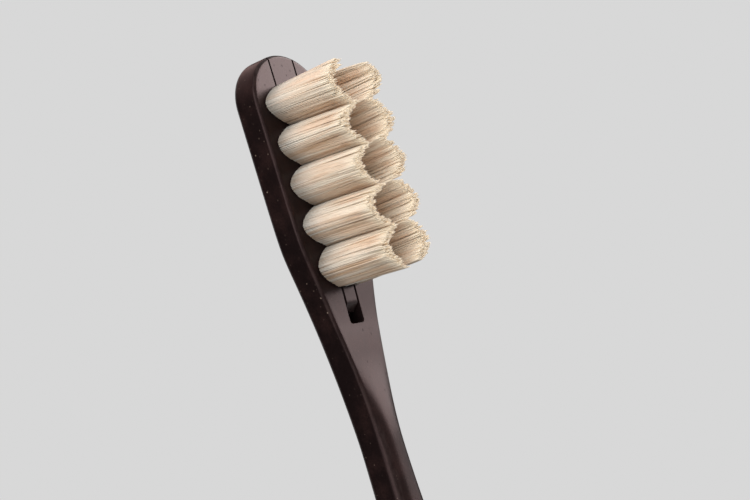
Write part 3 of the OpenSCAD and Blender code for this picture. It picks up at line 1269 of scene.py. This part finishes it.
@dataclass
class BristleTuft(Assembly):
    """One C-shaped bundle of bristles on one side of a bay.

    The bristles lean together in clumps, and stand closer in locks. Stops are shares of a bristle's
    height, and girths are shares of its radius at those heights.
    """

    bay: int
    side: Side
    density: float = 36.0
    radius: float = 0.1
    sides: int = 6
    stops: tuple[float, ...] = (0.0, 0.25, 0.5, 0.72, 0.86, 0.93, 0.975)
    girths: tuple[float, ...] = (0.72, 0.86, 0.97, 1.0, 0.98, 0.82, 0.46)
    fray: float = 0.22
    fray_form: Pair = (1.1, 3.2)
    lean: float = 0.05
    lean_power: float = 1.25
    clump_size: int = 6
    clump_pull: float = 0.22
    clump_fray: float = 0.32
    clump_lean: float = 0.1
    lock_size: int = 5
    lock_pull: float = 0.13
    lock_range: Pair = (0.3, 1.3)
    stray_share: float = 0.05
    stray_reach: float = 0.4
    stray_power: float = 2.5
    own_tone: float = 0.4
    clump_tone: float = 0.2
    lock_tone: float = 0.4
    # Painted shade on the outer bristles of each lobe's grip-side flank, and painted light on its tip-side
    # flank.
    grip_side_painted_shade: float = 1.1
    grip_side_span: Pair = (0.5, 0.85)
    tip_side_painted_light: float = -0.4
    tip_side_span: Pair = (0.0, 0.25)
    outer_span: Pair = (-0.4, 0.4)
    grid: float = 0.045
    relax_turns: int = 14
    pad_inset: float = 0.3
    pad_t: float = 0.8
    # The pad takes the darkest tone: painted shade in the gaps between the roots.
    pad_painted_shade: float = 1.0
    pad_steps: int = 28
    uv_fill: float = 0.9
    first_seed: int = 7100
    bay_seeds: int = 10

    def ground(self) -> Array:
        """Even grid of places inside the bundle's plan, on the +Y side.

        Returns:
            Rows of x and y.
        """
        g = self.design.field
        start = g.x_at(self.bay, 0)
        xs = np.arange(start + self.grid / 2, start + g.pitch, self.grid)
        ys = np.arange(0, g.field_w / 2, self.grid)
        x, y = (a.ravel() for a in np.meshgrid(xs, ys))
        u = (x - g.field_x) / g.pitch - self.bay
        inside = (y > g.inner_y(self.bay, u)) & (y < g.outer_y(self.bay, u))
        return np.column_stack([x[inside], y[inside]])

    def share_out(self, rng: np.random.Generator, ground: Array, count: int) -> tuple[Array, Array]:
        """Spreads points evenly over the ground.

        Args:
            rng: Chooses the starting places.
            ground: Places to share out.
            count: Number of points.

        Returns:
            The spread points, and the number of the point that owns each place of the ground.
        """
        points = ground[rng.choice(len(ground), count, replace=False)]
        for _ in range(self.relax_turns):
            owner = np.argmin(((ground[:, None] - points[None]) ** 2).sum(2), axis=1)
            owned = np.bincount(owner, minlength=count)
            total = np.column_stack([np.bincount(owner, ground[:, k], count) for k in (0, 1)])
            points = np.where(owned[:, None] > 0, total / np.maximum(owned, 1)[:, None], points)
        return points, owner

    def strands(self) -> tuple[Array, Array]:
        """Centre lines and tones of all bristles.

        Returns:
            Points with the shape (bristles, stops, 3), and a tone from 0 to 1 for each bristle.
        """
        g = self.design.field
        rng = np.random.default_rng(self.first_seed + self.bay_seeds * self.bay + self.side.value)
        ground = self.ground()
        count = round(len(ground) * self.grid**2 * self.density)
        roots, _ = self.share_out(rng, ground, count)
        clumps = max(1, count // self.clump_size)
        centres, clump = self.share_out(rng, roots, clumps)
        pull = (centres[clump] - roots) * self.clump_pull + rng.normal(0, self.clump_lean, (clumps, 2))[clump]
        locks = max(1, count // self.lock_size)
        middles, lock = self.share_out(rng, roots, locks)
        pull_in = (middles[lock] - roots) * self.lock_pull
        roots = roots + pull_in * rng.uniform(*self.lock_range, (locks, 1))[lock]
        u = (roots[:, 0] - g.field_x) / g.pitch - self.bay
        off = roots[:, 1] - g.middle_y(self.bay, u)
        stray = (rng.random(count) < self.stray_share) * np.sign(off) * self.stray_reach
        stray = np.column_stack([np.zeros(count), stray]) * rng.random((count, 1))
        stray = stray + rng.normal(0, self.lean, (count, 2))
        short = self.fray * rng.beta(*self.fray_form, count)
        short = short + (self.clump_fray * rng.random(clumps) ** 2)[clump]
        stops = np.append(self.stops, 1.0)[None, :, None]
        way = (pull + g.fan(self.bay, u, self.side))[:, None]
        plan = roots[:, None] + way * stops**self.lean_power + stray[:, None] * stops**self.stray_power
        low, high = self.design.root_z, self.design.brush.face_z + g.bristle_h - short
        lines = np.concatenate([plan, low + (high - low)[:, None, None] * stops], axis=2)
        lines[:, :, 1] *= self.side.value
        tones = rng.random(count) * self.own_tone
        tones = tones + rng.random(clumps)[clump] * self.clump_tone + rng.random(locks)[lock] * self.lock_tone
        # The tones hold random variation and the painted shade and light of the lobes' flanks.
        return lines, np.clip(tones * self.painted_shading(u, off), 0, 1)

    def painted_shading(self, u: Array, off: Array) -> Array:
        """Painted shade and light on the bristles outside a lobe: darker towards the grip, where the flank is
        in shade, and lighter towards the tip.

        Args:
            u: Places of the roots along the bay, from 0 to 1.
            off: How far they stand out from the middle of the wall, in millimetres.

        Returns:
            Factors of the tones, which are below 1 on the lobe's side towards the tip.
        """
        shade = self.grip_side_painted_shade * smooth(u, *self.grip_side_span)
        shade = shade + self.tip_side_painted_light * (1 - smooth(u, *self.tip_side_span))
        return 1 + shade * smooth(off, *self.outer_span)

    def build(self) -> Thing:
        """Makes the bristles and their pad as one piece.

        Returns:
            The tuft.
        """
        lines, tones = self.strands()
        count, stops = lines.shape[:2]
        turn = np.linspace(0, 2 * math.pi, self.sides, endpoint=False) * self.side.value
        rim = at_z(0, np.column_stack([np.cos(turn), np.sin(turn)])) * self.radius
        tubes = lines[:, :-1, None] + rim[None, None] * np.array(self.girths)[None, :, None, None]
        points = np.concatenate([tubes.reshape(count, -1, 3), lines[:, -1:]], axis=1)
        per = points.shape[1]
        one, one_spots = self.strand_faces(stops - 1)
        columns = math.ceil(math.sqrt(count * 2))
        cell = np.array([1 / columns, 1 / math.ceil(count / columns)])
        faces = [tuple(k * per + v for v in face) for k in range(count) for face in one]
        spots = [(np.array([k % columns, k // columns]) + one_spots) * cell for k in range(count)]
        side, number = self.side.name.lower(), self.bay + 1
        piece = self.kit.build(f"tuft_{side}_{number}", points.reshape(-1, 3), faces)
        paint(piece, np.repeat(tones, per))
        piece.data.uv_layers.new(name=UV_NAME).data.foreach_set("uv", np.concatenate(spots).ravel())
        self.kit.join(piece, self.pad())
        piece.data.shade_smooth()
        return self.seat(piece, Body.CARTRIDGE, Slot.BRISTLES, f"bristles_{side}_{number}")

    def strand_faces(self, rings: int) -> tuple[Faces, Array]:
        """Faces of one bristle, and the places of their corners on the bake's map.

        Args:
            rings: Number of rings of points below the tip.

        Returns:
            The faces, and one row of map coordinates from 0 to 1 for each corner.
        """
        n, last = self.sides, rings - 1
        faces = ring_walls(rings, n)
        faces += [(last * n + j, last * n + (j + 1) % n, rings * n) for j in range(n)]
        faces.append(tuple(reversed(range(n))))
        quad, tip = ((0, 0), (1, 0), (1, 1), (0, 1)), ((0, 0), (1, 0), (0.5, 1))
        spots = [(j + a, i + b) for i in range(last) for j in range(n) for a, b in quad]
        spots += [(j + a, last + b) for j in range(n) for a, b in tip]
        spots += [(n / 2 + math.cos(a) / 2, rings + 0.5 + math.sin(a) / 2)
                  for a in np.linspace(0, 2 * math.pi, n, endpoint=False)]
        return faces, (1 - self.uv_fill) / 2 + self.uv_fill * np.array(spots) / [n, rings + 1]

    def pad(self) -> Thing:
        """The fused root pad as a closed block, a little inside the bristles.

        Returns:
            The closed block.
        """
        g, inset = self.design.field, self.pad_inset
        u = np.linspace(inset / g.pitch, 1 - inset / g.pitch, self.pad_steps)
        x = g.x_at(self.bay, u)
        outer = np.column_stack([x, g.outer_y(self.bay, u) - inset])
        inner = np.column_stack([x, g.inner_y(self.bay, u) + inset])
        plan = np.concatenate([outer, inner[::-1]]) * [1, self.side.value]
        low = self.design.root_z
        block = self.kit.stack("pad", [at_z(z, plan) for z in (low, low + self.pad_t)])
        # Painted shade: the dark pad shows through the gaps between the bristles' roots.
        paint(block, np.full(len(block.data.vertices), self.pad_painted_shade))
        return block


@dataclass
class Cartridge:
    """The replaceable part: the carrier and its ten tufts."""

    kit: MeshKit
    design: Design
    carrier_finish: CompositeFinish
    bristle_finish: BristleFinish

    def build(self) -> list[Thing]:
        """Builds the carrier and every tuft.

        Returns:
            The pieces.
        """
        pieces = [Carrier(self.kit, self.design, self.carrier_finish).build()]
        for bay in range(len(self.design.field.bay_shares)):
            for side in Side:
                pieces.append(BristleTuft(self.kit, self.design, self.bristle_finish, bay, side).build())
        return pieces


@dataclass(frozen=True)
class SoftLamp:
    """A square or oblong soft light that faces the head."""

    name: str
    towards: Point
    level: float
    colour: Colour = (1.0, 1.0, 1.0)
    size: Pair = (0.5, 0.5)
    distance: float = 0.8

    def build(self, aim: Vector) -> Thing:
        """Places the lamp.

        Args:
            aim: The place that it lights, in metres.

        Returns:
            The lamp, whose face shows at its level.
        """
        data = bpy.data.lights.new(self.name, "AREA")
        data.shape = "RECTANGLE"
        data.size, data.size_y = self.size
        data.energy = self.level * math.pi * self.size[0] * self.size[1]
        data.color = self.colour
        lamp = add_object(self.name, data)
        way = Vector(self.towards).normalized()
        lamp.location = aim + way * self.distance
        lamp.rotation_mode = "QUATERNION"
        lamp.rotation_quaternion = way.to_track_quat("Z", "Y")
        lamp.visible_camera = False
        return lamp


def plate(name: str, low: Point, high: Point) -> tuple[Thing, NodeSheet]:
    """Makes a plate with an empty material of its own.

    Args:
        name: Name of the plate and of its material.
        low: Its corner with the lowest x and y, in metres.
        high: The corner across, at whose height its far edge lies.

    Returns:
        The plate, and the sheet of its material.
    """
    (x0, y0, z0), (x1, y1, z1) = low, high
    mesh = bpy.data.meshes.new(name)
    mesh.from_pydata([(x0, y0, z0), (x1, y0, z0), (x1, y1, z1), (x0, y1, z1)], [], [(0, 1, 2, 3)])
    mesh.materials.append(bpy.data.materials.new(name))
    return add_object(name, mesh), NodeSheet.of(mesh.materials[0])


@dataclass(frozen=True)
class DullCard:
    """A dull card below the brush, which keeps pale reflections off its edges and sides."""

    name: str
    low: Point
    high: Point
    tone: Colour = (0.015, 0.015, 0.015)

    def build(self) -> Thing:
        """Lays the card out of the camera's sight.

        Returns:
            The card.
        """
        card, sheet = plate(self.name, self.low, self.high)
        matt = sheet.node("ShaderNodeBsdfDiffuse", {"Color": self.tone})
        sheet.node("ShaderNodeOutputMaterial", {"Surface": matt[0]})
        card.visible_camera = False
        return card


@dataclass
class Studio:
    """Pale floor far below the brush, plain surroundings and soft lamps."""

    backdrop: float = 0.686
    fill: float = 0.28
    floor_z: float = -0.15
    floor_size: float = 8.0
    floor_tone: float = 0.35
    aim: Point = (-0.08, 0.0, 0.008)
    cards: tuple[DullCard, ...] = (
        DullCard("near_card", (-0.6, -0.9, -0.14), (0.6, -0.02, -0.14)),
        DullCard("far_card", (-0.32, 0.1, -0.14), (0.7, 2.0, 0.13)),
        DullCard("warm_card", (-1.0, -0.5, -0.13), (-0.2, 0.35, -0.13), (0.8, 0.58, 0.55)),
    )
    lamps: tuple[SoftLamp, ...] = (
        SoftLamp("sheen_lamp", (-0.297, 0.81, 0.485), 8.6, (1.0, 0.86, 0.84), (0.43, 0.57)),
        SoftLamp("key_lamp", (-0.64, -0.76, 0.3), 3.5, (1.0, 0.995, 0.98)),
        SoftLamp("mid_lamp", (-0.05, -1.0, 0.3), 3.9),
        SoftLamp("near_lamp", (0.64, -0.76, 0.3), 0.9),
    )

    @staticmethod
    def grey(level: float) -> Colour:
        """A grey of the given level."""
        return (level, level, level)

    @staticmethod
    def seen(sheet: NodeSheet) -> Socket:
        """1 where the backdrop is looked at, mirrored or seen through.

        Args:
            sheet: Where the nodes go.

        Returns:
            The mask.
        """
        path = sheet.node("ShaderNodeLightPath")
        return sheet.plus(
            path["Is Camera Ray"], path["Is Glossy Ray"], path["Is Transmission Ray"], clamp=True)

    def world(self) -> None:
        """Surroundings that show the backdrop's tone and give a weak fill."""
        world = bpy.data.worlds.new("studio")
        bpy.context.scene.world = world
        sheet = NodeSheet.of(world)
        tone = sheet.mix(self.seen(sheet), self.grey(self.fill), self.grey(self.backdrop))
        background = sheet.node("ShaderNodeBackground", {"Color": tone})
        sheet.node("ShaderNodeOutputWorld", {"Surface": background[0]})

    def floor(self) -> Thing:
        """Plain pale floor, which is not part of the object.

        Returns:
            The floor.
        """
        half = self.floor_size / 2
        floor, sheet = plate("floor", (-half, -half, self.floor_z), (half, half, self.floor_z))
        matt = sheet.node("ShaderNodeBsdfDiffuse", {"Color": self.grey(self.floor_tone)})
        glow = sheet.node("ShaderNodeEmission", {"Color": self.grey(self.backdrop)})
        both = sheet.node("ShaderNodeMixShader", {0: self.seen(sheet), 1: matt[0], 2: glow[0]})
        sheet.node("ShaderNodeOutputMaterial", {"Surface": both[0]})
        return floor

    def build(self) -> None:
        """Sets up the floor, the surroundings, the lamps and the view transform."""
        bpy.context.scene.view_settings.view_transform = "Standard"
        self.world()
        self.floor()
        for card in self.cards:
            card.build()
        for lamp in self.lamps:
            lamp.build(Vector(self.aim))


@dataclass(frozen=True)
class PhotoCamera:
    """Camera at the photograph's viewing angle. Places are in millimetres in the row frame."""

    place: Point = (-45.06, -183.56, 125.08)
    aim: Point = (-69.965, 7.638, 4.02)
    roll_deg: float = 68.86
    lens_mm: float = 90.44
    sensor_mm: float = 36.0
    near_m: float = 0.01
    far_m: float = 20.0

    def build(self) -> Thing:
        """Makes the scene's camera.

        Returns:
            The camera.
        """
        data = bpy.data.cameras.new("photo_camera")
        data.lens = self.lens_mm
        data.sensor_width = self.sensor_mm
        data.clip_start, data.clip_end = self.near_m, self.far_m
        camera = add_object("photo_camera", data)
        forward = (Vector(self.aim) - Vector(self.place)).normalized()
        camera.location = Vector(self.place) * MM
        camera.rotation_mode = "QUATERNION"
        roll = Quaternion((0, 0, 1), math.radians(self.roll_deg))
        camera.rotation_quaternion = forward.to_track_quat("-Z", "Y") @ roll
        bpy.context.scene.camera = camera
        return camera


def main() -> None:
    """Loads the frame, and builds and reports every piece."""
    logging.basicConfig(level=logging.INFO, format="%(name)s: %(message)s")
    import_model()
    PhotoCamera().build()
    Studio().build()
    design = Design()
    kit = MeshKit(design.brush)
    face_z = design.brush.face_z
    handle_finish = CompositeFinish(name="dark_composite")
    carrier_finish = CompositeFinish(name="carrier_composite", mottle=0.3, grain=0.4, fleck_share=0.2)
    bristle_finish = BristleFinish(
        name="cream_bristle", tip_z=face_z + design.field.bristle_h, root_z=face_z)
    pieces = [Handle(kit, design, handle_finish).build(), ReleaseTongue(kit, design, carrier_finish).build()]
    pieces += Cartridge(kit, design, carrier_finish, bristle_finish).build()
    for piece in pieces:
        log.info("%s: %d faces in %s", piece.name, len(piece.data.polygons), piece.active_material.name)


if __name__ == "__main__":
    main()
